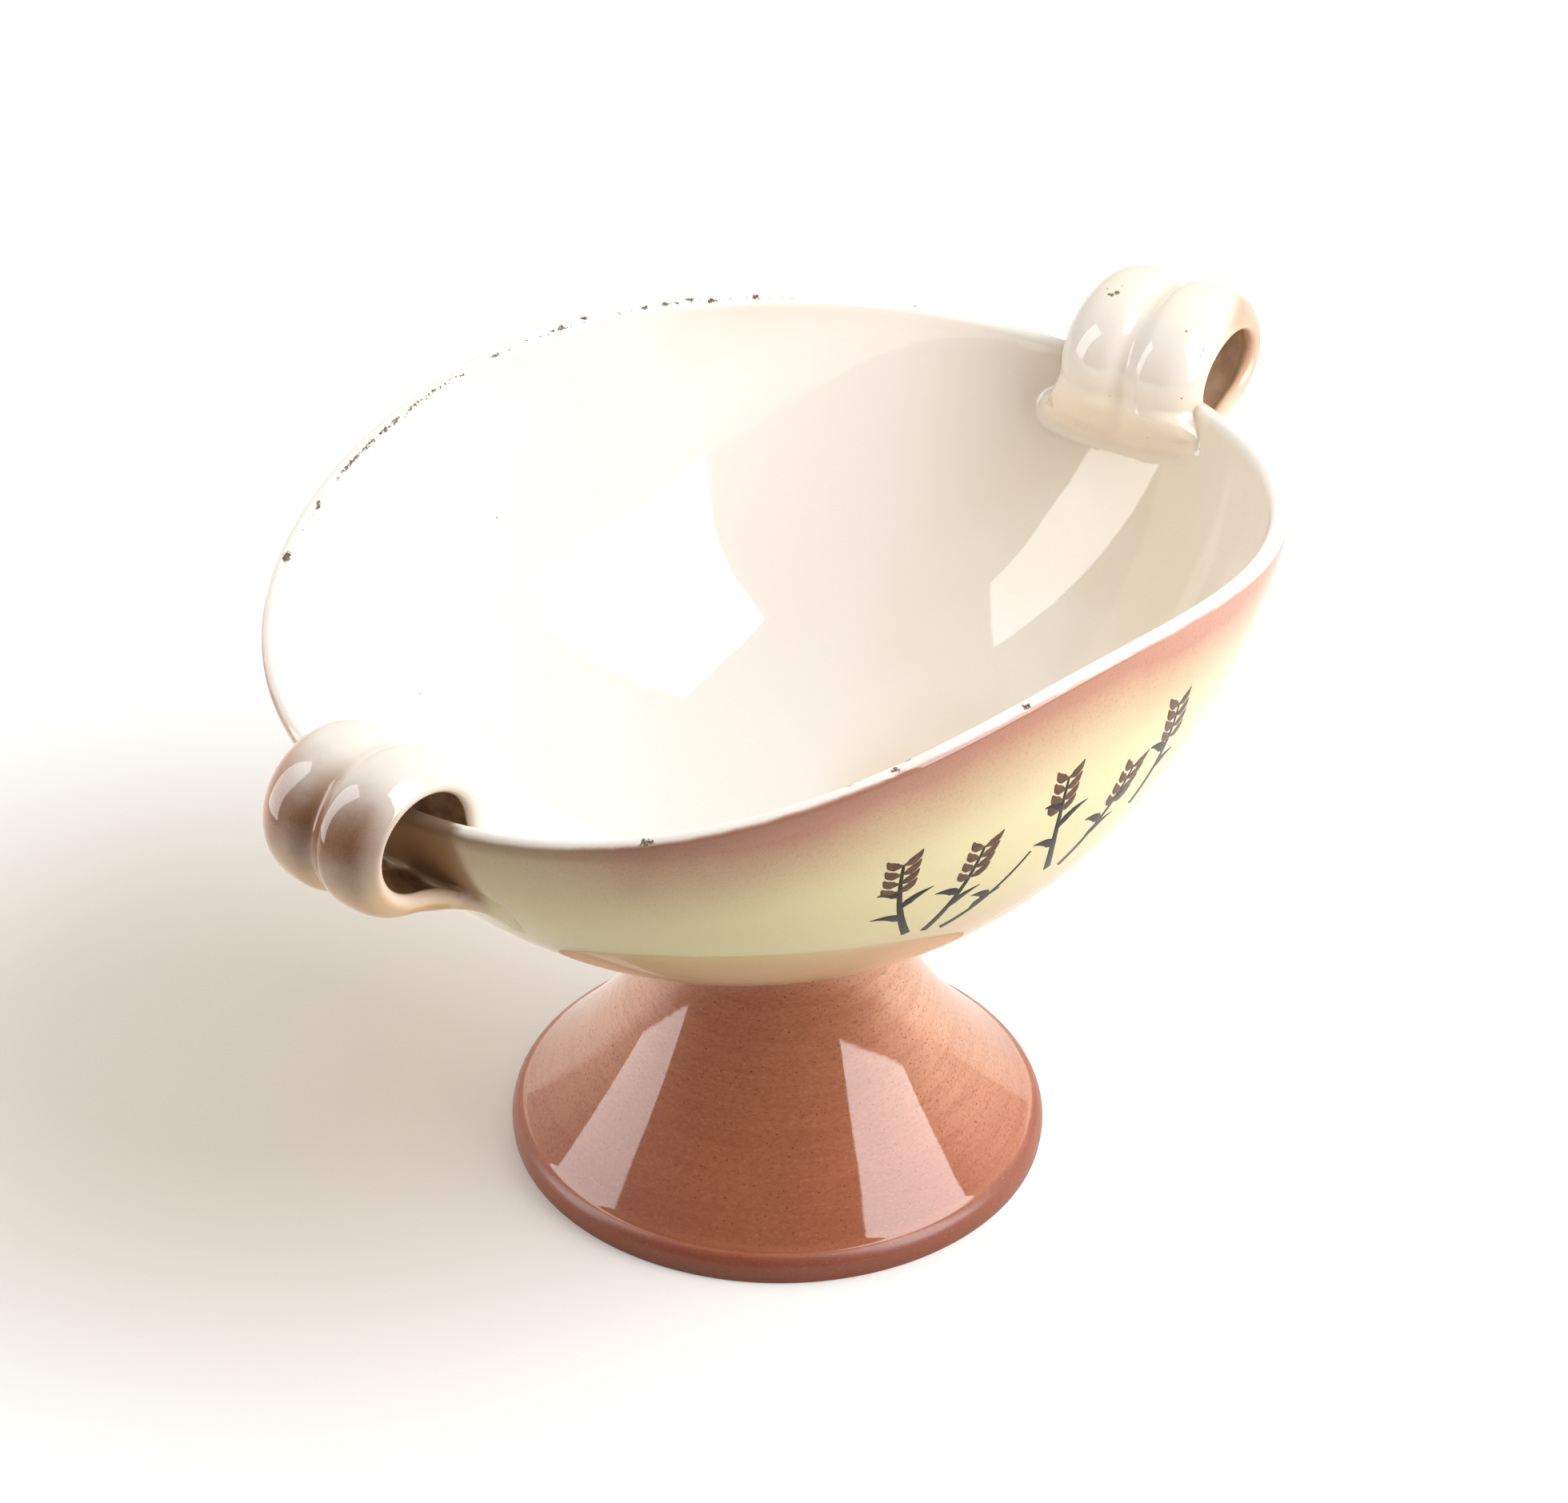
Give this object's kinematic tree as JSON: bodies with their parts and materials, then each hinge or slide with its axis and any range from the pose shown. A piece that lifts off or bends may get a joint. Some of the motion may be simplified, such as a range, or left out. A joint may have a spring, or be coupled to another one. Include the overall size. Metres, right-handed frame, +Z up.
{
  "type": "two-handled footed bowl",
  "caption": "Oval glazed earthenware bowl with a high-sided rim on a hollow flared foot, with a rolled strap handle luted over the rim at each end.",
  "frame": {"origin": "on the table, under the middle of the whole piece's outline from handle to handle", "axes": "+X along the bowl's long axis towards the taller handle, +Y along its short axis, +Z up"},
  "size_m": [0.3172, 0.2008, 0.1805],
  "materials": {
    "bowl_glaze": "ivory gloss glaze, airbrushed terracotta under the rim outside",
    "foot_glaze": "terracotta brown gloss glaze, finely brushed and speckled",
    "handle_glaze": "ivory gloss glaze shaded with blush and mauve brown",
    "slip": "cream gloss glaze over the luting slip"
  },
  "bodies": {
    "root": {"bowl": "bowl_glaze", "foot": "foot_glaze", "foot_slip_ring": "slip", "handle_right": "handle_glaze", "handle_right_inner_slip": "slip", "handle_right_outer_slip": "slip", "handle_left": "handle_glaze", "handle_left_inner_slip": "slip", "handle_left_outer_slip": "slip"}
  },
  "joints": []
}
